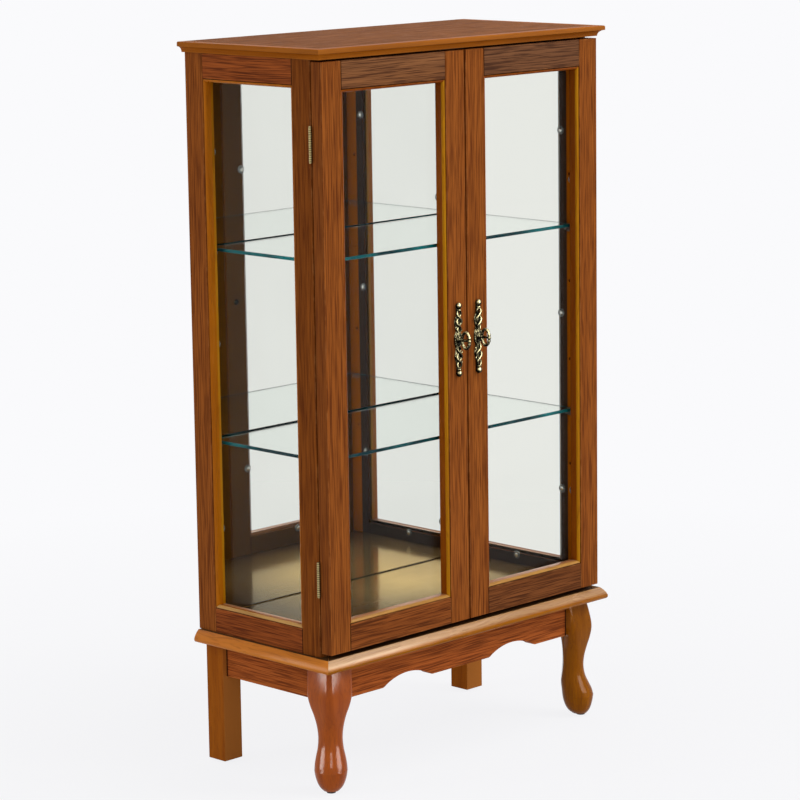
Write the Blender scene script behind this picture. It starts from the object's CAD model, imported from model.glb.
# %% [markdown]
# # A glazed display cabinet, dressed for the camera
# The cabinet's boards, panes and hinges come from a CAD model that is loaded as a fixed frame. This
# script adds what CAD is poor at: carved and moulded shapes with soft light on them, brass ornament, wood
# grain and glass. Every new piece is modelled where it belongs, in metres, and rides on the carcass or a
# door.

# %% Load the cabinet's frame
import math
import bmesh
import bpy
import numpy as np
from mathutils import Matrix, Vector


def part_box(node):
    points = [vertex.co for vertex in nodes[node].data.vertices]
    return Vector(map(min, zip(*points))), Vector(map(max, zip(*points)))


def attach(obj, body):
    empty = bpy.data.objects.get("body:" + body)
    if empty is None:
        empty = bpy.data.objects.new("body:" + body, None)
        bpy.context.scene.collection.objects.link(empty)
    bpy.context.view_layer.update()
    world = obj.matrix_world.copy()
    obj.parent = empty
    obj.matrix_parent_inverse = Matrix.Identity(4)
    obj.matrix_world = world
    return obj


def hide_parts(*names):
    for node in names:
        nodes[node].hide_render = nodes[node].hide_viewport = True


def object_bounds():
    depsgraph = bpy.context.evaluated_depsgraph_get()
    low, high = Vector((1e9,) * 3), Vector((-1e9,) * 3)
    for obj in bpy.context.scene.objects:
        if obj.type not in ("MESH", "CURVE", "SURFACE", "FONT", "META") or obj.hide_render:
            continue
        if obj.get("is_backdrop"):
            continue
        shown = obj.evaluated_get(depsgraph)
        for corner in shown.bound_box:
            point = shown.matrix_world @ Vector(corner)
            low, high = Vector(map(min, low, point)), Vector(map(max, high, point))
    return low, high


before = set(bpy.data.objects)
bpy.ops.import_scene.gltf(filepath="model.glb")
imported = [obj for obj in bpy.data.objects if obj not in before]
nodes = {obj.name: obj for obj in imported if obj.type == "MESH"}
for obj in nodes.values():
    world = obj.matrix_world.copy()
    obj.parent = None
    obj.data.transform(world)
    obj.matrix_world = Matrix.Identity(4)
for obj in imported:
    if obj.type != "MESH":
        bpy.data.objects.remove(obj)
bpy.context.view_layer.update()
scene = bpy.context.scene

# %% [markdown]
# ## The camera
# The picture is taken from a little above the top, a good three metres off the left front corner, with a
# long lens. A camera can be aimed with a constraint, but here its three axes are known from the viewing
# direction and a slight roll, so they are written straight into its matrix. No lens shift is used, so
# that the cabinet stays in the middle when the camera is moved round it.

# %% Camera at the left front corner
MM = 0.001
CAMERA_PLACE = (-3.2773, -3.2263, 1.3664)
view_turn, view_drop, view_roll = (math.radians(a) for a in (45.346, 10.436, -0.814))
forward = Vector((math.sin(view_turn) * math.cos(view_drop), math.cos(view_turn) * math.cos(view_drop),
                  -math.sin(view_drop)))
level = Vector((math.cos(view_turn), -math.sin(view_turn), 0))
upright = level.cross(forward)
right = level * math.cos(view_roll) + upright * math.sin(view_roll)
up = upright * math.cos(view_roll) - level * math.sin(view_roll)
lens = bpy.data.cameras.new("camera")
lens.sensor_width = 36
lens.lens = 142.0
lens.clip_end = 100
camera = bpy.data.objects.new("camera", lens)
scene.collection.objects.link(camera)
axes = Matrix((right, up, -forward)).transposed().to_4x4()
camera.matrix_world = Matrix.Translation(CAMERA_PLACE) @ axes
scene.camera = camera
print("camera: lens", round(lens.lens, 1), "mm")

# %% [markdown]
# ## A way to write finishes
# A finish is a small graph of nodes. A few helpers keep the graphs short: one adds a node and fills its
# sockets with numbers or links, others add the kinds that come up often, and one opens a new material.
# Colours are written as they look on a screen, 0 to 255, and turned into the linear values that the light
# sums use.

# %% Node helpers
def on_screen(r, g, b):
    """The linear colour of a colour as a screen shows it."""
    parts = [c / 255 for c in (r, g, b)]
    return [p / 12.92 if p <= 0.04045 else ((p + 0.055) / 1.055) ** 2.4 for p in parts] + [1.0]


def add(tree, kind, sockets=None, **settings):
    """A shader node with its settings, and its inputs set to values or linked to outputs."""
    made = tree.nodes.new("ShaderNode" + kind)
    for name, value in settings.items():
        setattr(made, name, value)
    for name, value in (sockets or {}).items():
        if isinstance(value, bpy.types.NodeSocket):
            tree.links.new(value, made.inputs[name])
        else:
            made.inputs[name].default_value = value
    return made


def tone(tree, factor, dark, light):
    """A colour between two, by a factor. Each of the two is a link or a colour as a screen shows it."""
    ends = [c if isinstance(c, bpy.types.NodeSocket) else on_screen(*c) for c in (dark, light)]
    return add(tree, "Mix", {0: factor, 6: ends[0], 7: ends[1]}, data_type="RGBA").outputs[2]


def between(tree, value, low, high, at_low=0.0, at_high=1.0):
    """A value stretched from one range to another, and held at its ends."""
    return add(tree, "MapRange", {"Value": value, 1: low, 2: high, 3: at_low, 4: at_high}).outputs[0]


def here(tree):
    """The point that is shaded, in the coordinates of its object, which are the frame's."""
    return add(tree, "TexCoord").outputs["Object"]


def noise(tree, place, scale, detail, **more):
    """The value of a noise texture at a place."""
    sockets = {"Vector": place, "Scale": scale, "Detail": detail}
    sockets.update({name.title(): value for name, value in more.items()})
    return add(tree, "TexNoise", sockets).outputs[0]


def combine(tree, operation, first, second):
    """One step of arithmetic on two values."""
    return add(tree, "Math", {0: first, 1: second}, operation=operation).outputs[0]


def new_finish(name):
    """A new material, its graph of nodes and the shader in it."""
    finish = bpy.data.materials.new(name)
    finish.use_nodes = True
    return finish, finish.node_tree, finish.node_tree.nodes["Principled BSDF"]


def constants(shader, **values):
    """Values that are the same all over a surface, set on the shader itself."""
    for name, value in values.items():
        shader.inputs[name.replace("_", " ").title().replace("Ior", "IOR")].default_value = value


def surface(tree, shader, colour, rough, relief=None):
    """Links a colour and a roughness to a shader, and a relief of given strength, depth and height."""
    tree.links.new(colour, shader.inputs["Base Color"])
    tree.links.new(rough, shader.inputs["Roughness"])
    if relief:
        strength, depth, height = relief
        bump = add(tree, "Bump", {"Strength": strength, "Distance": depth, "Height": height})
        tree.links.new(bump.outputs[0], shader.inputs["Normal"])


print("node helpers ready")

# %% [markdown]
# ## White room and pale floor
# The cabinet stands in a white studio. What the camera, the glass and the mirror see of the room is white
# at a strength of one, while the light that falls on the wood comes from a dimmer sky and from lamps. The
# two are told apart by the kind of ray that asks. The floor is pale and mostly shines by itself to the
# rays that see it, so only a faint shadow is left on it.

# %% Room and floor
paper = on_screen(250, 250, 252)


def seen_directly(tree):
    """One for rays from the camera, off gloss and through glass, and nought for soft light."""
    ray = add(tree, "LightPath").outputs
    seen = combine(tree, "MAXIMUM", ray["Is Camera Ray"], ray["Is Glossy Ray"])
    return combine(tree, "MAXIMUM", seen, ray["Is Transmission Ray"])


room = bpy.data.worlds.new("white_room")
room.use_nodes = True
scene.world = room
sky = room.node_tree
sky.nodes.clear()
soft = add(sky, "Background", {"Color": (1.0, 0.99, 0.97, 1), "Strength": 0.62})
plain = add(sky, "Background", {"Color": paper, "Strength": 1.0})
blend = add(sky, "MixShader", {0: seen_directly(sky), 1: soft.outputs[0], 2: plain.outputs[0]})
add(sky, "OutputWorld", {"Surface": blend.outputs[0]})

bm = bmesh.new()
bmesh.ops.create_grid(bm, x_segments=8, y_segments=8, size=30)
floor_mesh = bpy.data.meshes.new("floor")
bm.to_mesh(floor_mesh)
bm.free()
floor = bpy.data.objects.new("floor", floor_mesh)
floor.location.z = -0.0002
scene.collection.objects.link(floor)
pale, tree, shader = new_finish("pale_floor")
constants(shader, base_color=on_screen(205, 205, 206), roughness=0.9)
glow = add(tree, "Emission", {"Color": paper, "Strength": 1.0})
away = add(tree, "VectorMath", {0: here(tree)}, operation="LENGTH").outputs["Value"]
share = combine(tree, "MULTIPLY", seen_directly(tree), between(tree, away, 0.4, 1.7, 0.89, 1.0))
lit = add(tree, "MixShader", {0: share, 1: shader.outputs[0], 2: glow.outputs[0]})
tree.links.new(lit.outputs[0], tree.nodes["Material Output"].inputs["Surface"])
floor_mesh.materials.append(pale)
floor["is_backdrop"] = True
scene.view_settings.view_transform = "Standard"
print("room and floor ready")

# %% [markdown]
# ## Softboxes and windows
# Four softboxes light the wood. Lacquered legs also mirror the tall windows of light that stand round a
# set. Such a window could be a glowing sheet, but it would show in the panes and the mirror too. So it is
# a lamp that only shines in the gloss of the pieces in one collection: legs, base mouldings and handles.
# A ray that comes through glass meets no lamp, because the lamps' light already passes the panes on its
# own.

# %% Softboxes and windows
def softbox(name, place, target, width, height, power, gloss_only=False, matt_only=False):
    """A rectangular lamp that faces a point, and may show in the gloss of chosen pieces alone."""
    lamp = bpy.data.lights.new(name, "AREA")
    lamp.shape = "RECTANGLE"
    lamp.size, lamp.size_y, lamp.energy = width, height, power
    stand = bpy.data.objects.new(name, lamp)
    aim = (Vector(target) - Vector(place)).to_track_quat("-Z", "Y").to_matrix().to_4x4()
    stand.matrix_world = Matrix.Translation(place) @ aim
    stand.visible_transmission = False
    stand.visible_glossy = not matt_only
    if gloss_only:
        stand.visible_diffuse = False
        stand.light_linking.receiver_collection = shiny_pieces
    scene.collection.objects.link(stand)


shiny_pieces = bpy.data.collections.new("shiny_pieces")
softbox("right_softbox", (1.9, -2.6, 2.9), (0, 0, 0.5), 1.2, 1.6, 49)
softbox("low_softbox", (-0.9, -2.6, 0.35), (0, 0.1, 0.1), 1.6, 0.5, 9, matt_only=True)
softbox("high_softbox", (1.2, -1.0, 3.4), (0, 0, 0.4), 1.8, 1.2, 34)
softbox("left_softbox", (-2.3, 1.15, 1.25), (-0.2, 0, 0.3), 0.7, 1.4, 12)
softbox("left_window", (-2.35, 0.95, 0.98), (-0.2, 0, 0.1), 1.45, 1.75, 150, True)
softbox("front_window", (0.55, -1.9, 0.92), (-0.1, -0.1, 0.1), 1.2, 1.65, 115, True)
softbox("corner_window", (-2.1, -2.3, 2.0), (-0.2, -0.1, 0.1), 0.7, 1.3, 45, True)
softbox("right_window", (1.75, -1.05, 2.5), (0, -0.1, 0.2), 2.0, 1.3, 19, True)
print("four softboxes and four windows set")

# %% [markdown]
# ## Where the grain runs
# Wood grain is noise that is stretched along the board. A board could be unwrapped for that, but its box
# and its long axis are known from the frame, so Object coordinates serve: they are bent a little by a
# slow wander, moved by an offset of the board's own, so that no two look alike, and scaled more across
# than along. The same box tells how far a point is from the board's edges.

# %% Grain helpers
def edge_distance(tree, low, high):
    """Distances to the nearest face along X, Y and Z, and to the nearest edge, inside a board's box."""
    place = here(tree)
    from_low = add(tree, "VectorMath", {0: place, 1: tuple(low)}, operation="SUBTRACT")
    to_high = add(tree, "VectorMath", {0: tuple(high), 1: place}, operation="SUBTRACT")
    least = add(tree, "VectorMath", {0: from_low.outputs[0], 1: to_high.outputs[0]}, operation="MINIMUM")
    each = add(tree, "SeparateXYZ", {0: least.outputs[0]}).outputs
    lower = combine(tree, "MINIMUM", each[0], each[1])
    upper = combine(tree, "MAXIMUM", each[0], each[1])
    return each, combine(tree, "MAXIMUM", lower, combine(tree, "MINIMUM", upper, each[2]))


def grain_place(tree, along, offset, wander):
    """Object coordinates bent by a slow noise, moved by an offset, ready to be stretched along the grain."""
    place = here(tree)
    slow = add(tree, "TexNoise", {"Vector": place, "Scale": 7.0, "Detail": 1.0})
    centred = add(tree, "VectorMath", {0: slow.outputs["Color"], 1: (0.5, 0.5, 0.5)}, operation="SUBTRACT")
    bent = add(tree, "VectorMath", {0: centred.outputs[0], 1: (wander,) * 3, 2: place},
               operation="MULTIPLY_ADD")

    def stretched(across, lengthwise):
        size = [across] * 3
        size["XYZ".index(along)] = lengthwise
        return add(tree, "Mapping", {"Vector": bent.outputs[0], "Location": offset, "Scale": size}).outputs[0]
    return stretched


def offset_of(name):
    """A steady offset for a board, worked out from the letters of its name."""
    total = sum((i + 1) * ord(c) for i, c in enumerate(name))
    return (total % 37 * 1.7, total % 53 * 1.3, total % 29 * 2.1)


print("grain helpers ready")

# %% [markdown]
# ## Veneer
# The frames, aprons and top wear a brown veneer with fine dark pores along each board. Three layers of
# grain are laid over each other: bands of growth, streaks, and pores that also give the relief. Arrises
# are a little worn, and a dark V line is left where a rail meets a stile. The inner faces of doors and
# side panels have no veneer. They are only lacquered: golden on the doors and by the front, and dark
# farther in. The doors' hinge edges are darker too.

# %% Veneer finish
BODY_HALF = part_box("right_hinge_stile")[1].x
PANEL_THICK = 0.020
SIDE_INNER = BODY_HALF - PANEL_THICK


def veneer(name, along, low, high, ground, gloss, joints, on_door, on_side):
    """Veneer for one board, with dark lines at its ends if given a width, and bare wood on its inner face."""
    finish, tree, shader = new_finish("veneer_" + name)
    stretched = grain_place(tree, along, offset_of(name), 0.004)
    pores = noise(tree, stretched(720, 16.0), 1.0, 2.0, roughness=0.5)
    streaks = noise(tree, stretched(400, 6.0), 1.0, 2.0)
    bands = noise(tree, stretched(48, 1.2), 1.0, 2.0)
    deep, light, dark_pore = ground
    colour = tone(tree, between(tree, bands, 0.2, 0.8), deep, light)
    colour = tone(tree, between(tree, streaks, 0.36, 0.60, 0.34, 0.0), colour, dark_pore)
    colour = tone(tree, between(tree, pores, 0.38, 0.56, 0.80, 0.0), colour, dark_pore)
    each, edge = edge_distance(tree, low, high)
    place = here(tree)
    rubbed = noise(tree, place, 60.0, 4.0)
    worn = combine(tree, "MULTIPLY", between(tree, edge, 0.0003, 0.0022, 0.45, 0),
                   between(tree, rubbed, 0.45, 0.75))
    colour = tone(tree, worn, colour, (186, 122, 70))
    across, depth, _ = add(tree, "SeparateXYZ", {0: place}).outputs
    from_middle = add(tree, "Math", {0: across}, operation="ABSOLUTE").outputs[0]
    if on_door:
        bare = (140, 88, 20) if "hinge" in name else (116, 76, 28)
        colour = tone(tree, between(tree, depth, high.y - 0.0008, high.y - 0.0004, 0, 0.85), colour, bare)
    if "hinge" in name:
        at_edge = between(tree, from_middle, BODY_HALF - 0.0006, BODY_HALF - 0.0002, 0, 0.3)
        colour = tone(tree, at_edge, colour, dark_pore)
    if on_side:
        dark_from = low.y + (0.022 if "front" in name else 0)
        bare = tone(tree, between(tree, depth, dark_from - 0.001, dark_from), (196, 104, 2), (72, 54, 45))
        outside = between(tree, from_middle, SIDE_INNER + 0.0003, SIDE_INNER + 0.0007)
        colour = tone(tree, outside, bare, colour)
    if joints:
        v_line = between(tree, each["XYZ".index(along)], joints, joints + 0.0008, 0.85, 0.0)
        colour = tone(tree, v_line, colour, (38, 18, 9))
    rough = combine(tree, "ADD", between(tree, pores, 0.3, 0.6, 0.52, 0.40),
                    between(tree, rubbed, 0.2, 0.8, -0.04, 0.04))
    surface(tree, shader, colour, rough, (0.35, 0.0003, pores))
    constants(shader, specular_ior_level=gloss, specular_tint=(1.0, 0.70, 0.42, 1.0))
    return finish


print("veneer ready")

# %% [markdown]
# ## Dressing the boards
# A board of the frame keeps its own mesh and only gets a finish. The boards are sorted by the way their
# grain runs, and each kind of board has its own three tones: the dark and the light of the growth bands,
# and the pores. The first kind whose name is part of the board's name counts, so narrow kinds stand
# before wide ones.

# %% Veneered boards
def dress(node, finish):
    """Gives a CAD node its finish in place of the plain one it came with."""
    slots = nodes[node].data.materials
    slots.clear()
    slots.append(finish)


def holds(name, *words):
    """Whether any of the words is part of a name."""
    return any(word in name for word in words)


GRAIN = {"Z": ["left_front_stile", "left_rear_stile", "right_front_stile", "right_rear_stile",
               "left_hinge_stile", "left_meeting_stile", "right_hinge_stile", "right_meeting_stile"],
         "Y": ["left_side_top_rail", "left_side_bottom_rail", "right_side_top_rail", "right_side_bottom_rail",
               "left_apron", "right_apron"],
         "X": ["left_door_top_rail", "left_door_bottom_rail", "right_door_top_rail", "right_door_bottom_rail",
               "front_apron", "rear_apron", "rear_base_rail", "top_panel"]}
TONES = {"front_stile": ((122, 64, 20), (142, 78, 28), (84, 38, 13)),
         "stile": ((142, 77, 29), (164, 94, 39), (88, 41, 18)),
         "side": ((140, 70, 30), (164, 86, 40), (74, 32, 18)),
         "apron": ((170, 86, 38), (192, 106, 50), (94, 43, 21)),
         "left_door_top": ((126, 79, 46), (144, 96, 61), (63, 36, 26)),
         "right_door_top": ((113, 72, 46), (131, 88, 59), (59, 36, 27)),
         "left_door": ((136, 72, 31), (155, 88, 42), (68, 32, 16)),
         "right_door": ((114, 64, 32), (132, 78, 42), (60, 31, 18)),
         "top": ((130, 72, 22), (150, 87, 30), (74, 40, 16)),
         "rear": ((116, 66, 34), (136, 80, 44), (62, 33, 20))}
for along, names in GRAIN.items():
    for name in names:
        kind = next(k for k in TONES if k in name)
        gloss = 0.004 if kind == "top" else 0.02
        joints = 0.0025 if "apron" in name else 0.0007 if "rail" in name else 0
        on_door = holds(name, "door", "hinge", "meeting")
        on_side = holds(name, "front_stile", "rear_stile", "side")
        dress(name, veneer(name, along, *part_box(name), TONES[kind], gloss, joints, on_door, on_side))
print("veneered boards:", sum(len(n) for n in GRAIN.values()))

# %% [markdown]
# ## Lacquered solid wood
# Legs, mouldings, lipping and glazing beads are solid wood under a glossy golden-brown lacquer. It has
# the same stretched noise as the veneer, but much quieter. Where the shape is sharp the lacquer is thin,
# so edges are a little lighter, read from how pointed the surface is. A clear coat could make the shine,
# but one layer with its own strength and tint is enough. A finish may have another tone on faces that
# look forward, or a deeper and duller one on the lip under a base moulding.

# %% Lacquer finish
amber_shine = (1.0, 0.78, 0.56, 1.0)
white_shine = (1.0, 0.95, 0.90, 1.0)
warm_shine = (1.0, 0.88, 0.74, 1.0)
dark_line = (96, 44, 14)


def lacquer(name, along, light, deep, rough, gloss, thin=0.15, tint=amber_shine, front=None, under=None):
    """Lacquered wood between two tones, with a range of roughness and the strength and tint of its shine."""
    finish, tree, shader = new_finish("lacquer_" + name)
    stretched = grain_place(tree, along, offset_of(name), 0.03)
    bands = noise(tree, stretched(60, 4), 1.0, 4.0)
    lines = noise(tree, stretched(480, 9), 1.0, 2.0)
    ground = tone(tree, between(tree, bands, 0.3, 0.7), deep, light)
    fine = between(tree, lines, 0.34, 0.48, 0.28, 0.0)
    colour = tone(tree, fine, ground, dark_line)
    keen = add(tree, "NewGeometry").outputs["Pointiness"]
    colour = tone(tree, between(tree, keen, 0.52, 0.58, 0, thin), colour, (212, 150, 86))
    if front:
        facing = add(tree, "SeparateXYZ", {0: add(tree, "NewGeometry").outputs["Normal"]}).outputs[1]
        colour = tone(tree, between(tree, facing, -0.8, -0.6, 0.85, 0), colour, front)
    if under:
        height = add(tree, "SeparateXYZ", {0: here(tree)}).outputs[2]
        rail_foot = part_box("front_base_moulding")[0].z
        upper = between(tree, height, rail_foot + 0.0065, rail_foot + 0.0105)
        colour = tone(tree, upper, tone(tree, fine, under, dark_line), colour)
    surface(tree, shader, colour, between(tree, bands, 0.3, 0.7, *rough), (0.12, 0.0002, lines))
    constants(shader, specular_ior_level=gloss, specular_tint=tint)
    if under:
        tree.links.new(between(tree, upper, 0, 1, gloss * 0.2, gloss), shader.inputs["Specular IOR Level"])
    return finish


polished = (0.13, 0.18)
leg_lacquer = {
    "left": lacquer("left_leg", "Z", (170, 82, 15), (144, 63, 9), polished, 0.16, tint=white_shine),
    "right": lacquer("right_leg", "Z", (150, 86, 5), (126, 68, 2), polished, 0.07, tint=warm_shine)}
rear_leg_lacquer = lacquer("rear_legs", "Z", (160, 88, 20), (136, 68, 11), (0.30, 0.40), 0.03, 0.0,
                           front=(172, 106, 46))
for name in ("rear_left_leg", "rear_right_leg"):
    dress(name, rear_leg_lacquer)
print("lacquer ready, rear legs dressed")

# %% [markdown]
# ## Floor board
# The floor board is a smooth polished veneer with soft tan reflections. A plain shine would turn them
# white at a low angle, so the finish is partly metallic, which keeps its own colour in what it mirrors.
# The board is paler and mirrors more towards the back than at the left and the front.

# %% Floor board
finish, tree, shader = new_finish("floor_veneer")
stretched = grain_place(tree, "X", (3, 5, 7), 0.02)
bands = noise(tree, stretched(80, 2.2), 1.0, 4.0)
pores = noise(tree, stretched(560, 12), 1.0, 3.0)
ground = tone(tree, between(tree, bands, 0.3, 0.7), (222, 184, 116), (236, 196, 128))
ground = tone(tree, between(tree, pores, 0.34, 0.5, 0.25, 0.0), ground, (170, 130, 76))
across, depth, _ = add(tree, "SeparateXYZ", {0: here(tree)}).outputs
ground = tone(tree, between(tree, across, 0.08, 0.28), ground, (166, 130, 92))
open_part = combine(tree, "MULTIPLY", between(tree, across, -0.18, 0.06), between(tree, depth, -0.09, 0.05))
ground = tone(tree, open_part, (94, 66, 38), ground)
mirror_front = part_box("back_mirror")[0].y
bare_edge = between(tree, depth, mirror_front - 0.0022, mirror_front - 0.0012)
ground = tone(tree, bare_edge, ground, (190, 146, 80))
surface(tree, shader, ground, between(tree, bands, 0.3, 0.7, 0.12, 0.15))
tree.links.new(between(tree, open_part, 0, 1, 0.35, 0.80), shader.inputs["Metallic"])
constants(shader, specular_ior_level=0.05, specular_tint=(1.0, 0.93, 0.70, 1.0))
dress("floor_board", finish)
print("floor board dressed")

# %% [markdown]
# ## Mirror, back and blocks
# Inside, against the back, stands a silvered mirror with a dark lower rim, and on its back a plain fibre
# board. A perfect mirror looks drawn, so a slow haze changes its tone and gloss by a trace. The glue
# blocks are raw wood.

# %% Mirror, back and blocks
floor_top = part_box("floor_board")[1].z
finish, tree, shader = new_finish("silvered_mirror")
haze = noise(tree, here(tree), 9.0, 3.0)
silver = tone(tree, haze, (244, 245, 245), (249, 250, 250))
height = add(tree, "SeparateXYZ", {0: here(tree)}).outputs[2]
above_rim = between(tree, height, floor_top + 0.0010, floor_top + 0.0022)
silver = tone(tree, above_rim, (34, 26, 20), silver)
surface(tree, shader, silver, between(tree, haze, 0.3, 0.7, 0.0, 0.02))
constants(shader, metallic=1.0)
dress("back_mirror", finish)


def fibre_board(name, dark, light):
    """Pressed fibre: a felt of short pale and dark flecks."""
    finish, tree, shader = new_finish(name)
    place = here(tree)
    flecks = noise(tree, place, 190.0, 5.0, roughness=0.75)
    blotch = noise(tree, place, 40.0, 3.0)
    both = add(tree, "Math", {0: blotch, 1: 0.25, 2: flecks}, operation="MULTIPLY_ADD")
    felt = tone(tree, between(tree, both.outputs[0], 0.42, 0.84), dark, light)
    surface(tree, shader, felt, between(tree, flecks, 0.3, 0.7, 0.75, 0.9), (0.2, 0.0003, flecks))
    return finish


dress("back_panel", fibre_board("fibre_back", (120, 82, 46), (172, 128, 82)))
raw_wood = lacquer("raw_blocks", "X", (188, 148, 100), (156, 116, 72), (0.6, 0.75), 0.1)
dress("corner_blocks", raw_wood)
print("mirror, back and blocks dressed")

# %% [markdown]
# ## Clear glass
# The panes are thin clear glass. A refracting shader bends light as glass does, but it would throw a
# black shadow, so rays on their way to a lamp pass straight through. Faint smears change the gloss.

# %% Pane glass
def clear_glass(name, tint, smear, bend):
    """Glass of a tint, with the roughness of its smears and how much it bends light."""
    finish, tree, shader = new_finish(name)
    place = here(tree)
    wiped = noise(tree, place, 16.0, 4.0, distortion=1.2)
    tree.links.new(between(tree, wiped, 0.45, 0.75, 0.0, smear), shader.inputs["Roughness"])
    constants(shader, base_color=tint, transmission_weight=1.0, ior=bend)
    passing = add(tree, "BsdfTransparent", {"Color": tint})
    path = add(tree, "LightPath")
    either = add(tree, "MixShader", {0: path.outputs["Is Shadow Ray"], 1: shader.outputs[0],
                                     2: passing.outputs[0]})
    tree.links.new(either.outputs[0], tree.nodes["Material Output"].inputs["Surface"])
    return finish


pane_glass = clear_glass("pane_glass", on_screen(245, 246, 242), 0.012, 1.14)
for name in ("left_side_glass", "right_side_glass", "left_door_glass", "right_door_glass"):
    dress(name, pane_glass)
scene.cycles.max_bounces = 24
scene.cycles.transmission_bounces = 24
scene.cycles.transparent_max_bounces = 24
scene.cycles.glossy_bounces = 12
scene.cycles.caustics_reflective = False
print("four panes dressed")

# %% [markdown]
# ## Making a piece
# New pieces are built in a bmesh, the editable mesh, and then become an object. One helper does the end
# of every piece alike: it merges doubles, turns normals outwards, shades smooth except over sharp angles,
# sets the finish, and says which body the piece rides on and which CAD node it stands for.

# %% Piece helper
def make_piece(name, bm, body, slot, finishes, stands_for=(), crease=32, shiny=False):
    """Turns a bmesh into a finished piece that rides a body and may stand for CAD nodes."""
    bmesh.ops.remove_doubles(bm, verts=bm.verts, dist=1e-6)
    bmesh.ops.recalc_face_normals(bm, faces=bm.faces)
    for face in bm.faces:
        face.smooth = True
    for edge in bm.edges:
        if edge.smooth:
            edge.smooth = edge.calc_face_angle(0) < math.radians(crease)
    mesh = bpy.data.meshes.new(name)
    bm.to_mesh(mesh)
    count = len(bm.faces)
    bm.free()
    made = bpy.data.objects.new(name, mesh)
    scene.collection.objects.link(made)
    for finish in finishes if isinstance(finishes, list) else [finishes]:
        mesh.materials.append(finish)
    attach(made, body)
    if stands_for:
        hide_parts(*stands_for)
    if shiny:
        shiny_pieces.objects.link(made)
    print("made", name, "with", count, "faces")
    return made


print("piece helper ready")

# %% [markdown]
# ## Places and arcs
# Sizes of the cabinet are easiest to read in millimetres, with depth counted back from the door fronts,
# the way they are measured. One helper turns such a place into the frame's metres. Another draws the
# round stretches of a profile: an arc through three points, which is how a moulding is taken off a
# drawing.

# %% Place and arc helpers
DOOR_FRONT = 127.5


def spot(x, y, z):
    """A point given in millimetres with y counted back from the door fronts, as a place in the frame."""
    return Vector((x * MM, (y - DOOR_FRONT) * MM, z * MM))


def arc_through(first, middle, last, count):
    """Points on the arc through three points of a profile."""
    (ax, ay), (bx, by), (cx, cy) = first, middle, last
    d = 2 * (ax * (by - cy) + bx * (cy - ay) + cx * (ay - by))
    ux = ((ax**2 + ay**2) * (by - cy) + (bx**2 + by**2) * (cy - ay) + (cx**2 + cy**2) * (ay - by)) / d
    uy = ((ax**2 + ay**2) * (cx - bx) + (bx**2 + by**2) * (ax - cx) + (cx**2 + cy**2) * (bx - ax)) / d
    start, half, end = (math.atan2(y - uy, x - ux) for x, y in (first, middle, last))
    turn = (end - start) % math.tau
    if (half - start) % math.tau > turn:
        turn -= math.tau
    radius = math.hypot(ax - ux, ay - uy)
    angles = [start + turn * i / count for i in range(count + 1)]
    return [(ux + radius * math.cos(a), uy + radius * math.sin(a)) for a in angles]


print("place and arc helpers ready")

# %% [markdown]
# ## Front legs
# Each front leg is a cabriole shape: a pad foot with a crisp rim, a slim ankle, and a knee that swells
# into a square block under the base. It is neither turned nor straight, so it is skinned: level rings,
# round at the foot and square at the top, are laid one above the other and bridged. The rings between the
# measured ones follow a smooth curve. Then the two inner faces are sawn flat, where the aprons butt
# against them.

# %% Skinning helpers
# each row: height, lean of the middle towards the cabinet's inside, half width, and share of rounding
PAD = [(3.0, 1.4, 11.5, 0.98), (8.0, 2.2, 16.4, 0.98), (15.0, 2.7, 20.0, 0.98), (24.0, 3.0, 22.6, 0.98),
       (32.0, 3.1, 23.8, 0.98)]
SHANK = [(32.0, 3.1, 23.8, 0.98), (41.1, 4.3, 23.0, 0.98), (51.0, 6.3, 21.2, 0.98), (63.0, 8.2, 18.6, 0.98),
         (77.9, 9.2, 17.3, 0.95), (93.9, 9.3, 18.1, 0.85), (109.9, 9.0, 20.2, 0.66), (125.0, 9.5, 23.4, 0.48),
         (141.0, 10.3, 25.6, 0.40), (160.0, 12.4, 25.2, 0.36), (183.0, 16.2, 24.5, 0.34)]
LEG_ACROSS, LEG_BACK = 269.5, 21.9
HOLLOW = arc_through((30.6, 54.0), (27.2, 90.0), (32.0, 132.0), 12)


def along_curve(table, count):
    """Rows between the given ones on a smooth curve through them, by the slopes at each row."""
    rows = np.array(table)
    slopes = np.gradient(rows, axis=0)
    made = []
    for s in np.linspace(0, len(rows) - 1, count):
        i = min(int(s), len(rows) - 2)
        f = s - i
        made.append((2 * f**3 - 3 * f**2 + 1) * rows[i] + (f**3 - 2 * f**2 + f) * slopes[i]
                    + (3 * f**2 - 2 * f**3) * rows[i + 1] + (f**3 - f**2) * slopes[i + 1])
    return made


def skin(bm, rings, close=False):
    """Bridges rings of vertices in order, and caps the two ends unless the last meets the first."""
    loops = [[e for e in {e for v in ring for e in v.link_edges} if all(v in ring for v in e.verts)]
             for ring in rings]
    pairs = list(zip(loops, loops[1:])) + ([(loops[-1], loops[0])] if close else [])
    for below, above in pairs:
        bmesh.ops.bridge_loops(bm, edges=below + above)
    if not close:
        for ring in (rings[0], rings[-1]):
            bmesh.ops.contextual_create(bm, geom=ring)


def rounded_ring(bm, middle, half, share, count=48):
    """A level ring: a circle whose quarters are pushed out to the corners of a rounded square."""
    turn = Matrix.Rotation(math.pi / count, 4, "Z")
    made = bmesh.ops.create_circle(bm, segments=count, radius=1, matrix=turn)
    for v in made["verts"]:
        flat = half * (1 - share)
        v.co = middle + Vector((math.copysign(flat, v.co.x) + v.co.x * half * share,
                                math.copysign(flat, v.co.y) + v.co.y * half * share, 0)) * MM
    return made["verts"]


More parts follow.
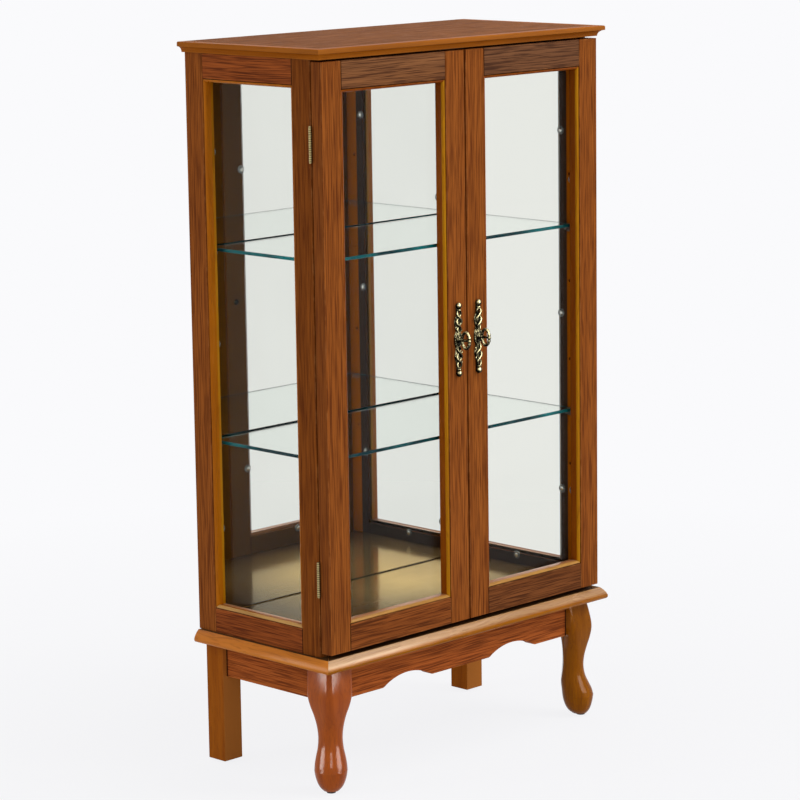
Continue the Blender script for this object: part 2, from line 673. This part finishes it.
def carve_corner(bm, rows, side):
    """Pushes the inner corner of a leg's lower rings back to a hollow line, given as reach and height."""
    inward = Vector((-side, 1, 0)).normalized()
    axis = spot(side * LEG_ACROSS, LEG_BACK, 0)
    for v in bm.verts:
        for (reach, z), (next_reach, next_z) in zip(rows, rows[1:]):
            if z * MM <= v.co.z < next_z * MM:
                share = (v.co.z / MM - z) / (next_z - z)
                beyond = (v.co - axis).dot(inward) - (reach + share * (next_reach - reach)) * MM
                v.co -= inward * max(beyond, 0)


def saw_flat(bm, point, outwards):
    """Cuts away what lies beyond a plane and closes the cut."""
    cut = bmesh.ops.bisect_plane(bm, geom=bm.verts[:] + bm.edges[:] + bm.faces[:], dist=1e-7, plane_co=point,
                                 plane_no=outwards, clear_outer=True)
    edges = [e for e in cut["geom_cut"] if isinstance(e, bmesh.types.BMEdge)]
    if edges:
        bmesh.ops.holes_fill(bm, edges=edges, sides=0)


print("skinning helpers ready")

# %% [markdown]
# The right leg is the left one mirrored, so one loop makes both from the same rows. The rim of the foot
# is kept sharp by marking its ring of edges, and the hollow behind the ankle is carved after the skin is
# closed.

# %% Cabriole legs
RIM_HEIGHT, INNER_FACE, REAR_FACE = 32, 234.9, 56.5
HANDS = (("left", -1), ("right", 1))
for hand, side in HANDS:
    bm = bmesh.new()
    rows = along_curve(PAD, 17) + along_curve(SHANK, 61)[1:]
    rings = []
    for z, lean, half, share in rows:
        middle = spot(side * (LEG_ACROSS - lean), LEG_BACK + lean, z)
        rings.append(rounded_ring(bm, middle, half, min(share, 0.98)))
    skin(bm, rings)
    for edge in bm.edges:
        if all(abs(v.co.z - RIM_HEIGHT * MM) < 1e-6 for v in edge.verts):
            edge.smooth = False
    carve_corner(bm, HOLLOW, side)
    saw_flat(bm, spot(side * INNER_FACE, 0, 0), (-side, 0, 0))
    saw_flat(bm, spot(0, REAR_FACE, 0), (0, 1, 0))
    make_piece(hand + "_cabriole_leg", bm, "carcass", "solid_wood", leg_lacquer[hand],
               ["front_" + hand + "_leg"], shiny=True)

# %% [markdown]
# ## Mouldings and lipping
# A moulding is one profile run along a straight strip, with its ends sawn at 45 degrees where two strips
# meet. The profile is drawn with a few points and arcs, filled, extruded to its length, and mitred by a
# plane, the way it is done at the bench. The edges are then eased by a very small bevel.

# %% Strips with mitred ends
def join(bm, part):
    """Adds a finished part to the piece that is being built."""
    shape = bpy.data.meshes.new("part")
    part.to_mesh(shape)
    part.free()
    bm.from_mesh(shape)
    bpy.data.meshes.remove(shape)


def strip(bm, profile, start, along, length, inward, depth, mitres=(True, True), finish=0, paint=None):
    """A profile run along a line: its first number goes inward, its second in depth, from the start point."""
    along, inward, depth = Vector(along), Vector(inward), Vector(depth)
    part = bmesh.new()
    ring = [part.verts.new(start + inward * a * MM + depth * b * MM) for a, b in profile]
    face = part.faces.new(ring)
    pushed = bmesh.ops.extrude_face_region(part, geom=[face])
    moved = [v for v in pushed["geom"] if isinstance(v, bmesh.types.BMVert)]
    bmesh.ops.translate(part, verts=moved, vec=along * length * MM)
    if mitres[0]:
        saw_flat(part, start, inward - along)
    if mitres[1]:
        saw_flat(part, start + along * length * MM, inward + along)
    bmesh.ops.recalc_face_normals(part, faces=part.faces)
    sharp = [e for e in part.edges if e.calc_face_angle(0) > math.radians(40)]
    bmesh.ops.bevel(part, geom=sharp, offset=0.25 * MM, offset_type="OFFSET", segments=2, profile=0.5,
                    affect="EDGES", material=-1, clamp_overlap=True)
    for face in part.faces:
        reach = face.calc_center_median() - start
        face.material_index = paint(reach.dot(inward) / MM, reach.dot(depth) / MM) if paint else finish
    join(bm, part)


print("strip helper ready")

# %% [markdown]
# The base moulding slopes out to a rounded lip, and the top has a hollow cove under its edge. The
# moulding's level top is stained dark, which is the shadow line under the doors.

# %% Base mouldings and coved lipping
BASE = ([(48, 183), (48, 201)] + arc_through((9, 201), (3.87, 195.88), (0, 188.5), 8)
        + arc_through((0, 186.8), (1.11, 184.11), (3.8, 183), 6))
TOP = ([(14, 1044.7), (14, 1060)] + arc_through((2, 1060), (0.59, 1059.41), (0, 1058), 5)
       + arc_through((0, 1053.3), (6.08, 1050.78), (8.6, 1044.7), 10))
X, Y, Z = Vector((1, 0, 0)), Vector((0, 1, 0)), Vector((0, 0, 1))
BASE_HALF, BASE_FRONT, BASE_DEPTH = 300, -8, 282
TOP_HALF, TOP_FRONT, TOP_DEPTH = 297.1, -7.5, 288.5
base_rough = (0.22, 0.30)
gold_shine = (1.0, 0.87, 0.68, 1.0)
base_lacquer = {
    "X": lacquer("base_x", "X", (178, 134, 90), (160, 116, 74), base_rough, 0.36, 0.1, gold_shine,
                 under=(152, 88, 4)),
    "Y": lacquer("base_y", "Y", (208, 126, 44), (184, 104, 32), base_rough, 0.05, 0.1, warm_shine)}
top_lacquer = {a: lacquer("top_lipping_" + a.lower(), a, (160, 88, 17), (134, 68, 9), (0.30, 0.40), 0.006)
               for a in "XY"}
dark_stain = lacquer("stain_under_doors", "X", (24, 13, 7), (14, 7, 4), (0.7, 0.85), 0.02)


def stain_top(bm):
    """Marks the level top of a base moulding for the dark stain."""
    for face in bm.faces:
        face.normal_update()
        face.material_index = 1 if face.normal.z > 0.999 else 0


bm = bmesh.new()
strip(bm, BASE, spot(-BASE_HALF, BASE_FRONT, 0), X, 2 * BASE_HALF, Y, Z)
stain_top(bm)
make_piece("front_moulding", bm, "carcass", "solid_wood", [base_lacquer["X"], dark_stain],
           ["front_base_moulding"], shiny=True)
for hand, side in HANDS:
    bm = bmesh.new()
    strip(bm, BASE, spot(side * BASE_HALF, BASE_FRONT, 0), Y, BASE_DEPTH, X * -side, Z, (True, False))
    stain_top(bm)
    make_piece(hand + "_moulding", bm, "carcass", "solid_wood", [base_lacquer["Y"], dark_stain],
               [hand + "_base_moulding"], shiny=True)
bm = bmesh.new()
strip(bm, TOP, spot(-TOP_HALF, TOP_FRONT, 0), X, 2 * TOP_HALF, Y, Z)
for side in (-1, 1):
    strip(bm, TOP, spot(side * TOP_HALF, TOP_FRONT, 0), Y, TOP_DEPTH, X * -side, Z, (True, False), 1)
make_piece("coved_lipping", bm, "carcass", "solid_wood", [top_lacquer["X"], top_lacquer["Y"]],
           ["top_edge_moulding"])

# %% [markdown]
# ## Glazing beads
# A slim bead with a rounded nose runs round every opening and holds the pane. A fine dark groove parts it
# from the frame. Four mitred strips make one frame of beads, by the same strip helper, with the depth
# running into the opening. Light falls on each strip from another side, and the lacquer is stained
# unevenly, so faces are painted by where they lie on the profile: the groove, the nose, the side, and the
# side next to the pane.

# %% Bead frames
BEAD = ([(0, 3.2), (1.0, 3.0)] + arc_through((1.0, 1.0), (3.7, 2.0), (5, 4.6), 8)
        + [(5, 11.5), (5, 16), (0, 16)])
GROOVE, NOSE, PANE_SIDE = 1.02, 4.5, 11.4


def bead_paint(nose, side, by_pane):
    """Numbers of the finishes of one strip, told by the distance from the frame and the depth of a face."""
    def paint(inward, back):
        return 4 if inward < GROOVE else nose if back < NOSE else side if back < PANE_SIDE else by_pane
    return paint


def bead_frame(bm, corner, across, width, height, depth):
    """Four strips round an opening whose lower corner and two directions are given."""
    far = corner + across * width * MM
    rise = Z * height * MM
    plain, lit = bead_paint(0, 0, 0), bead_paint(1, 0, 5)
    strip(bm, BEAD, corner, across, width, Z, depth, paint=bead_paint(3, 2, 6))
    strip(bm, BEAD, far + rise, -across, width, -Z, depth, paint=plain)
    strip(bm, BEAD, far, Z, height, -across, depth, paint=plain if across.x < 0 else lit)
    strip(bm, BEAD, corner + rise, -Z, height, across, depth, paint=plain if across.x > 0 else lit)


print("bead helper ready")

# %% [markdown]
# A frame of beads has seven finishes, in the order that the painting counts them: side and nose of the
# uprights, side and nose of the level strips, the groove, then the sides by the pane, upright and level.

# %% Glazing beads
silky, satin = (0.20, 0.28), (0.24, 0.32)
upright_side = lacquer("upright_beads", "Z", (146, 74, 10), (126, 58, 6), satin, 0.05, 0, warm_shine)
upright_nose = lacquer("upright_noses", "Z", (186, 126, 14), (166, 104, 8), satin, 0.08, 0, warm_shine)
door_side = lacquer("level_beads_x", "X", (184, 126, 84), (164, 104, 62), silky, 0.3, 0, white_shine)
door_nose = lacquer("level_noses_x", "X", (186, 136, 68), (166, 114, 50), silky, 0.12, 0, warm_shine)
panel_upright = lacquer("side_uprights", "Z", (184, 106, 14), (162, 88, 8), satin, 0.08, 0, warm_shine)
panel_side = lacquer("level_beads_y", "Y", (156, 88, 28), (136, 72, 18), satin, 0.08, 0, warm_shine)
panel_nose = lacquer("level_noses_y", "Y", (196, 150, 90), (176, 128, 70), satin, 0.05, 0, warm_shine)
panel_pane = lacquer("level_by_pane", "Y", (204, 152, 118), (184, 130, 96), silky, 0.2, 0, white_shine)
door_beads = [upright_side, upright_nose, door_side, door_nose, dark_stain, upright_side, door_side]
panel_beads = [panel_upright, panel_upright, panel_side, panel_nose, dark_stain, upright_nose, panel_pane]
# edge and sill of each kind of opening, and its width and height
DOOR_EDGE, DOOR_SILL, DOOR_OPENING = 40, 246.5, (207, 756.2)
SIDE_FACE, SIDE_EDGE, SIDE_SILL, SIDE_OPENING = 285.5, 58, 237, (184, 771.7)
for hand, side in HANDS:
    bm = bmesh.new()
    bead_frame(bm, spot(side * DOOR_EDGE, 0, DOOR_SILL), X * side, *DOOR_OPENING, Y)
    make_piece(hand + "_door_glazing_beads", bm, hand + "_door", "solid_wood", door_beads,
               [hand + "_door_beads"])
bm = bmesh.new()
for side in (-1, 1):
    bead_frame(bm, spot(side * SIDE_FACE, SIDE_EDGE, SIDE_SILL), Y, *SIDE_OPENING, X * -side)
make_piece("side_glazing_beads", bm, "carcass", "solid_wood", panel_beads, ["side_glass_beads"])

# %% [markdown]
# ## Glass shelves
# The shelves are thicker glass with polished edges. Looked at through its edge, the glass shows its own
# green, which a thin pane hides. Deep tinted glass could give that, but slowly and with noise. So the
# edge faces get a second, deep green finish, and the rims are eased by a bevel.

# %% Shelves
shelf_glass = clear_glass("shelf_glass", on_screen(248, 253, 251), 0.010, 1.22)
shelf_edge, tree, shader = new_finish("polished_edge")
depth_noise = noise(tree, here(tree), 9.0, 3.0)
glint = between(tree, depth_noise, 0.46, 0.72)
surface(tree, shader, tone(tree, glint, (2, 46, 54), (14, 132, 138)),
        between(tree, depth_noise, 0.3, 0.7, 0.08, 0.2))
constants(shader, transmission_weight=0.1, ior=1.5, specular_ior_level=0.04)
for name in ("lower_shelf", "upper_shelf"):
    low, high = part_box(name)
    bm = bmesh.new()
    size = Matrix.Diagonal((*(high - low), 1))
    bmesh.ops.create_cube(bm, size=1, matrix=Matrix.Translation((low + high) / 2) @ size)
    bmesh.ops.bevel(bm, geom=bm.edges[:], offset=0.6 * MM, offset_type="OFFSET", segments=2, profile=0.5,
                    affect="EDGES", material=-1)
    bmesh.ops.recalc_face_normals(bm, faces=bm.faces)
    for face in bm.faces:
        face.material_index = 1 if abs(face.normal.z) < 0.8 else 0
    make_piece(name + "_sheet", bm, "carcass", "shelf_glass", [shelf_glass, shelf_edge], [name], crease=5)

# %% [markdown]
# ## Metals and plastics
# Metal is bright where hands and cloths rub it and dull elsewhere. Where it is rubbed is read from
# pointed edges, or for ornament from the open space round a point and from the way it faces. Dark rings
# on the hinge barrels are drawn by a wave along the height. The plastics only have a faint cloud and
# pebble in their skin.

# %% Metals and plastics
def metal(name, bright, dull, rough, recess=None, rings=None):
    """Metal with tarnish in patches and fine scratches, and dark recesses or rings if given a size."""
    finish, tree, shader = new_finish(name)
    place = here(tree)
    patch = noise(tree, place, 130.0, 5.0)
    scratch = noise(tree, place, 900.0, 2.0)
    if recess:
        open_sky = add(tree, "AmbientOcclusion", {"Distance": recess}, samples=8).outputs["AO"]
        faces = add(tree, "NewGeometry").outputs["Normal"]
        topside = add(tree, "VectorMath", {0: faces, 1: (-0.33, -0.55, 0.77)}, operation="DOT_PRODUCT")
        rub = combine(tree, "MULTIPLY", between(tree, open_sky, 0.45, 0.95),
                      between(tree, topside.outputs["Value"], 0.50, 1.0))
    else:
        rub = between(tree, add(tree, "NewGeometry").outputs["Pointiness"], 0.46, 0.56)
    patina = between(tree, patch, 0.3, 0.7, -0.2, 0.2)
    rubbed = add(tree, "Math", {0: rub, 1: patina}, use_clamp=True).outputs[0]
    colour = tone(tree, rubbed, dull, bright)
    if rings:
        wave = add(tree, "TexWave", {"Vector": place, "Scale": math.tau / 20 / rings}, bands_direction="Z")
        across = add(tree, "SeparateXYZ", {0: place}).outputs[0]
        from_middle = add(tree, "Math", {0: across}, operation="ABSOLUTE").outputs[0]
        on_barrel = between(tree, from_middle, BODY_HALF - 0.0002, BODY_HALF + 0.0002)
        dark = combine(tree, "MULTIPLY", between(tree, wave.outputs[1], 0.2, 0.6, 0.7, 0.0), on_barrel)
        colour = tone(tree, dark, colour, (40, 30, 14))
    surface(tree, shader, colour, between(tree, rubbed, 0, 1, rough[1], rough[0]), (0.15, 0.0002, scratch))
    constants(shader, metallic=1.0)
    return finish


def moulded_plastic(name, dark, light, rough, **more):
    """Plastic between two tones, with a range of roughness and perhaps more constants."""
    finish, tree, shader = new_finish(name)
    place = here(tree)
    cloud = noise(tree, place, 160.0, 3.0)
    pebble = noise(tree, place, 1800.0, 1.0)
    colour = tone(tree, cloud, dark, light)
    surface(tree, shader, colour, between(tree, cloud, 0.3, 0.7, *rough), (0.1, 0.0001, pebble))
    constants(shader, **more)
    return finish


hinge_brass = metal("hinge_brass", (176, 160, 112), (118, 100, 60), (0.36, 0.48), rings=0.0031)
screw_steel = metal("screw_steel", (236, 236, 232), (170, 170, 168), (0.16, 0.28))
clear_plastic = moulded_plastic("clear_plastic", (214, 218, 216), (240, 243, 241), (0.07, 0.14),
                                transmission_weight=0.80, ior=1.46, specular_ior_level=0.9)
black_plastic = moulded_plastic("black_plastic", (20, 20, 21), (36, 35, 34), (0.45, 0.6))
brown_plastic = moulded_plastic("brown_plastic", (66, 40, 24), (88, 56, 34), (0.4, 0.55))
print("metals and plastics ready")

# %% [markdown]
# ## Small fittings
# Hinges, pins, supports, screws and glides have the right shape in the CAD model, but a CAD mesh is made
# of loose flat triangles. They could be modelled again. A copy that is merged at its seams and shaded
# smooth does as well, and makes barrels and discs look round.

# %% Smoothed copies of small fittings
def merged_copy(node):
    """A copy of a node's mesh, merged at its seams."""
    bm = bmesh.new()
    bm.from_mesh(nodes[node].data)
    bmesh.ops.remove_doubles(bm, verts=bm.verts, dist=1e-6)
    return bm


FITTINGS = {"hinge_frame_leaves": ("carcass", "hinge_brass", hinge_brass),
            "left_door_hinge_leaves": ("left_door", "hinge_brass", hinge_brass),
            "right_door_hinge_leaves": ("right_door", "hinge_brass", hinge_brass),
            "hinge_pins": ("carcass", "hinge_brass", hinge_brass),
            "back_panel_screws": ("carcass", "steel", screw_steel),
            "shelf_supports": ("carcass", "clear_plastic", clear_plastic),
            "leg_glides": ("carcass", "black_plastic", black_plastic)}
for node, (body, slot, finish) in FITTINGS.items():
    made = make_piece(node + "_rounded", merged_copy(node), body, slot, finish, [node])
    even = made.modifiers.new("even_faces", "WEIGHTED_NORMAL")
    even.keep_sharp = True
dress("magnetic_catch", brown_plastic)
for hand in ("left", "right"):
    dress(hand + "_strike_plate", screw_steel)
print("catch and strike plates dressed")

# %% [markdown]
# ## Glass clips
# Round clips, pushed into the wood, hold the panes in place. Each is turned as on a lathe: a profile of a
# few points is spun round its axis. The CAD node tells where the clips sit. Its mesh is parted into the
# pieces that hang together, and the box of each gives a clip's middle. The head of the pin in the middle
# of a clip is steel.

# %% Turned glass clips
CLIP = [(0, -8.0), (1.5, -8.0), (1.5, 0), (6.5, 0), (6.5, 1.0), (6.1, 1.6), (5.2, 1.9), (3.6, 1.7),
        (3.1, 1.3), (3.1, 1.9), (2.5, 2.3), (1.4, 2.5), (0, 2.5)]
CLIP_RISE, CLIP_PIN = 2.5, 3.2


def part_boxes(node):
    """The lowest and the highest corner of each separate part in a node's mesh."""
    bm = merged_copy(node)
    left, boxes = set(bm.verts), []
    while left:
        heap, part = [left.pop()], []
        while heap:
            v = heap.pop()
            part.append(v.co.copy())
            near = {e.other_vert(v) for e in v.link_edges} & left
            left -= near
            heap += near
        boxes.append([Vector(map(end, zip(*part))) for end in (min, max)])
    bm.free()
    return boxes


def turned(bm, profile, base, axis, steps=28, core=0):
    """A profile of radius and height spun round an axis, with a second finish inside a core radius."""
    part = bmesh.new()
    chain = [part.verts.new((r * MM, 0, h * MM)) for r, h in profile]
    edges = [part.edges.new(pair) for pair in zip(chain, chain[1:])]
    bmesh.ops.spin(part, geom=chain + edges, cent=(0, 0, 0), axis=(0, 0, 1), angle=math.tau, steps=steps,
                   use_merge=True)
    bmesh.ops.remove_doubles(part, verts=part.verts, dist=1e-7)
    for face in part.faces:
        face.material_index = 1 if face.calc_center_median().xy.length < core * MM else 0
    turn = Vector(axis).to_track_quat("Z", "Y").to_matrix().to_4x4()
    bmesh.ops.transform(part, matrix=Matrix.Translation(base) @ turn, verts=part.verts)
    bmesh.ops.recalc_face_normals(part, faces=part.faces)
    join(bm, part)


for node, body in (("side_glass_clips", "carcass"), ("left_door_clips", "left_door"),
                   ("right_door_clips", "right_door")):
    bm = bmesh.new()
    for low, high in part_boxes(node):
        middle = (low + high) / 2
        if body == "carcass":
            into = 1 if middle.x < 0 else -1
            seat = Vector(((high.x if into > 0 else low.x) - into * CLIP_RISE * MM, middle.y, middle.z))
            turned(bm, CLIP, seat, (into, 0, 0), core=CLIP_PIN)
        else:
            seat = Vector((middle.x, high.y - CLIP_RISE * MM, middle.z))
            turned(bm, CLIP, seat, (0, 1, 0), core=CLIP_PIN)
    make_piece(node + "_turned", bm, body, "clear_plastic", [clear_plastic, screw_steel], [node])

# %% [markdown]
# ## Hinge screws
# Three countersunk screws hold each leaf. Only their heads show, and only with a door open, so a head is
# all that is made: a flat disc turned like a clip and sawn into two halves, which leaves the slot between
# them. They stand less than a tenth of a millimetre proud, because the two leaves nearly meet when the
# door is shut.

# %% Slotted screw heads
SCREW = [(0, -0.4), (2.2, -0.4), (2.6, 0.0), (2.5, 0.06), (0, 0.06)]
SCREW_LINE, FRAME_LEAF, DOOR_LEAF = 276.5, 21.1, 20.9


def slotted_screw(bm, base, axis):
    """A screw head in two halves with its slot between them."""
    across = Vector((0.6, 0, 0.8))
    for half in (-1, 1):
        head = bmesh.new()
        turned(head, SCREW, base, axis, 20)
        saw_flat(head, base + across * half * 0.3 * MM, across * -half)
        join(bm, head)


screw_brass = metal("screw_brass", (124, 106, 66), (72, 58, 32), (0.30, 0.45))
for node, body in (("hinge_frame_leaves", "carcass"), ("left_door_hinge_leaves", "left_door"),
                   ("right_door_hinge_leaves", "right_door")):
    on_frame = body == "carcass"
    bm = bmesh.new()
    for low, high in part_boxes(node):
        side = 1 if low.x > 0 else -1
        base = spot(side * SCREW_LINE, FRAME_LEAF if on_frame else DOOR_LEAF, 0)
        for share in (0.16, 0.5, 0.84):
            base.z = low.z + (high.z - low.z) * share
            slotted_screw(bm, base, (0, -1 if on_frame else 1, 0))
    make_piece(node + "_screws", bm, body, "hinge_brass", screw_brass)

# %% [markdown]
# ## Antique brass handles
# Each door has a scrolled plate with a pull shaped like the bow of an old key, both cast in brass.
# Casting shows in soft round forms that run into each other, so the ornament is put together from three
# of them: a strand of changing thickness, a ball and a curl of wire. Dark patina stays in the hollows and
# the high spots are rubbed bright.

# %% Strands, balls and curls
antique_brass = metal("antique_brass", (158, 148, 110), (11, 9, 5), (0.24, 0.42), 0.004)


def oval_ring(bm, middle, out, across, half_out, half_across, count=16):
    """A ring of vertices in the plane of two directions."""
    made = bmesh.ops.create_circle(bm, segments=count, radius=1)["verts"]
    for v in made:
        v.co = middle + out * v.co.x * half_out * MM + across * v.co.y * half_across * MM
    return made


def strand(bm, points, radii):
    """A tube of changing thickness along points, skinned from rings set square to the path."""
    rings = []
    for i, p in enumerate(points):
        ahead = (points[min(i + 1, len(points) - 1)] - points[max(i - 1, 0)]).normalized()
        out = (Y - ahead * Y.dot(ahead)).normalized()
        rings.append(oval_ring(bm, p, out, ahead.cross(out), radii[i], radii[i], 10))
    skin(bm, rings)


def ball(bm, middle, radius, squash=1.0):
    """A ball round a middle, flattened in depth if asked."""
    made = bmesh.ops.create_uvsphere(bm, u_segments=20, v_segments=12, radius=radius * MM)
    for v in made["verts"]:
        v.co = middle + Vector((v.co.x, v.co.y * squash, v.co.z))


def curl(bm, middle, radius, wire, start, turn):
    """An open curl of wire that lies on the plate."""
    points = []
    for i in range(15):
        a = start + turn * i / 14
        r = radius * (1 - 0.45 * i / 14)
        points.append(middle + Vector((math.cos(a), 0, math.sin(a))) * r * MM)
    strand(bm, points, [wire * (1 - 0.3 * i / 14) for i in range(15)])


print("strand, ball and curl ready")

# %% [markdown]
# The plate is a domed spine, skinned from oval rings and sawn flat at its back. Twisted leaf strands and
# curls are laid on it, with a ball and a collar at each end and a wreath of small beads round the middle.

# %% Handle plate
# each row: distance from the middle, half width and rise
SPINE = [(0.0, 7.6, 3.2), (6.5, 7.2, 3.1), (12.0, 4.6, 2.5), (18.5, 6.0, 2.3), (25.0, 7.2, 2.3),
         (31.5, 5.2, 2.2), (37.0, 3.2, 2.1), (43.5, 3.6, 2.4), (48.0, 3.4, 2.2)]
COLLAR = [(2.6, -1.2), (4.0, -0.8), (4.3, 0), (4.0, 0.8), (2.6, 1.2)]


def handle_plate(bm, middle, hand):
    """The plate on the door's face, round a middle point on that face."""
    rows = along_curve([(-z, w, d) for z, w, d in SPINE[:0:-1]] + SPINE, 73)
    skin(bm, [oval_ring(bm, middle + Z * z * MM, -Y, X, d, w, 24) for z, w, d in rows])
    saw_flat(bm, middle, (0, 1, 0))
    for way in (-1, 1):
        for twist in (-1, 1):
            points, radii = [], []
            for i in range(33):
                s = i / 32
                wave = math.sin(math.pi * (0.35 + 2.6 * s)) * twist * hand * way
                width = 4.9 * math.sin(math.pi * (0.12 + 0.76 * s)) ** 0.7
                lift = 3.0 + 1.1 * math.cos(math.pi * (0.35 + 2.6 * s)) * twist
                points.append(middle + Vector((wave * width, -lift, way * (11 + 33 * s))) * MM)
                radii.append(0.8 + 1.1 * math.sin(math.pi * (0.1 + 0.8 * s)))
            strand(bm, points, radii)
        for z, x, start in ((17.5, 5.0, 0.2), (25.5, -5.4, 2.6), (32.0, 4.4, 0.4), (13.5, -4.2, 2.8)):
            curl(bm, middle + Vector((x * hand * way, -2.4, way * z)) * MM, 2.5, 0.95, start, 4.6 * hand)
        ball(bm, middle + Vector((0, -2.6, way * 49.4)) * MM, 5.0, 0.85)
        turned(bm, COLLAR, middle + Vector((0, -2.0, way * 43.6)) * MM, (0, 0, 1), 20)
    for i in range(18):
        a = math.tau * i / 18
        ball(bm, middle + Vector((7.0 * math.cos(a), -1.9, 10.6 * math.sin(a))) * MM, 1.05)


print("handle plate ready")

# %% [markdown]
# The pull stands straight out of the plate: a turned neck, then an oval bow with ridges and a bar through
# its middle. The bow is a closed run of oval rings, every other pair of them a little smaller, which
# makes the ridges. A screw from inside the door holds plate and pull.

# %% Handles
NECK = [(0, -0.5), (5.5, -0.5), (5.5, 0.7), (4.9, 1.3), (4.9, 1.7), (3.6, 2.1), (3.1, 2.9), (3.9, 3.7),
        (3.9, 4.3), (2.9, 5.0), (2.6, 6.2), (0, 6.8)]
BAR = [(-9.0, 1.5, 1.6), (-6.0, 2.1, 2.0), (-2.0, 1.5, 1.6), (2.0, 2.2, 2.1), (6.0, 1.6, 1.7),
       (9.0, 1.5, 1.6)]
BOLT = [(0, -10), (2, -10), (2, 0), (4.5, 0), (4.5, 0.9), (3.8, 1.6), (2.0, 2.0), (0, 2.0)]
HANDLE_ACROSS, HANDLE_HEIGHT, DOOR_THICK = 20.75, 626, 20


def handle_pull(bm, middle):
    """Turned neck, ridged oval bow with a bar through it, and the screw head inside the door."""
    turned(bm, NECK, middle - Y * 2.5 * MM, (0, -1, 0), 24)
    centre = middle - Y * 16.5 * MM
    rings = []
    for i in range(64):
        a = math.tau * i / 64
        facing = Vector((0, math.cos(a) / 9.5, math.sin(a) / 14.0)).normalized()
        ridge = 1.0 if i % 4 < 2 else 0.76
        place = centre + Vector((0, 7.3 * math.cos(a), 11.8 * math.sin(a))) * MM
        rings.append(oval_ring(bm, place, facing, X, 2.2 * ridge, 3.0 * ridge, 12))
    skin(bm, rings, close=True)
    skin(bm, [oval_ring(bm, centre + Y * y * MM, Z, X, h, w, 12) for y, h, w in along_curve(BAR, 21)])
    turned(bm, BOLT, middle + Y * DOOR_THICK * MM, (0, 1, 0), 24)


for hand, side in HANDS:
    middle = spot(side * HANDLE_ACROSS, 0, HANDLE_HEIGHT)
    bm = bmesh.new()
    handle_plate(bm, middle, side)
    make_piece(hand + "_scrolled_plate", bm, hand + "_door", "antique_brass", antique_brass,
               [hand + "_handle_plate"], crease=50, shiny=True)
    bm = bmesh.new()
    handle_pull(bm, middle)
    make_piece(hand + "_key_pull", bm, hand + "_door", "antique_brass", antique_brass,
               [hand + "_handle_pull"], crease=50, shiny=True)

# %% [markdown]
# ## Last look at the sizes
# The dressed cabinet must not grow past the CAD box.

# %% Sizes and finish
low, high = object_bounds()
print("visual box", [round(v, 4) for v in (*low, *high)])
